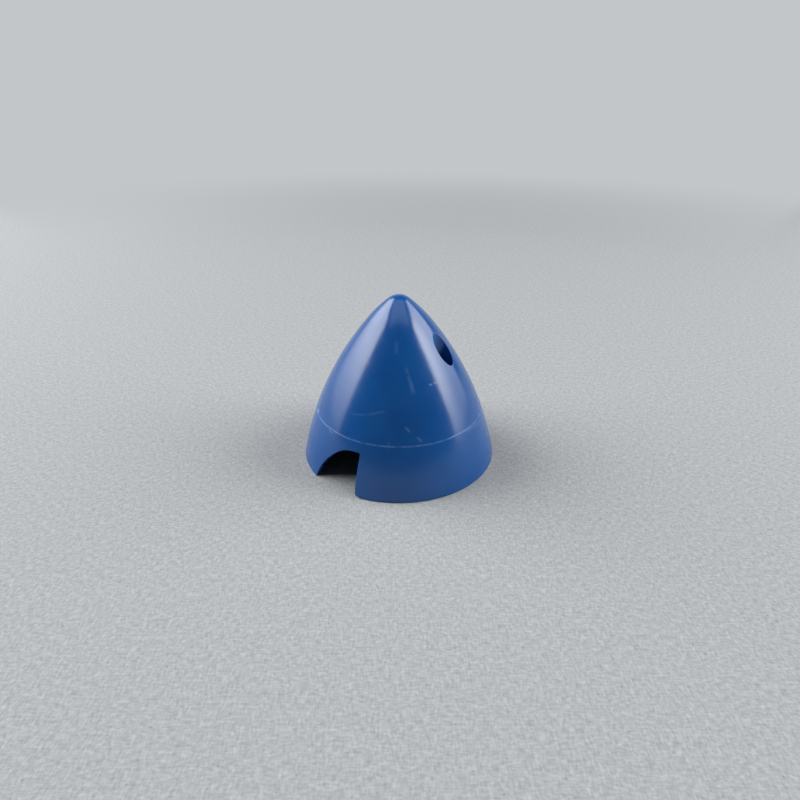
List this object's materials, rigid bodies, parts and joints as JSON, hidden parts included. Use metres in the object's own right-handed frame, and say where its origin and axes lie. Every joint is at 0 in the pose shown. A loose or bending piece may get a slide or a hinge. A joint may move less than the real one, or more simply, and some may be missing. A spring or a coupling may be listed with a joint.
{
  "type": "propeller spinner",
  "caption": "Hollow ogive nose cone for a propeller hub, moulded in one piece, with blade cut-outs in its rim, deep screw wells and a seat for a backplate.",
  "frame": {"origin": "centre of the rim plane that the cone rests on", "axes": "+Z along the spin axis towards the nose, X through the axes of the screw wells"},
  "size_m": [0.0568, 0.0568, 0.0484],
  "materials": {
    "blue_nylon": "gloss, as moulded"
  },
  "bodies": {
    "root": {"spinner_cone": "blue_nylon"}
  },
  "joints": []
}
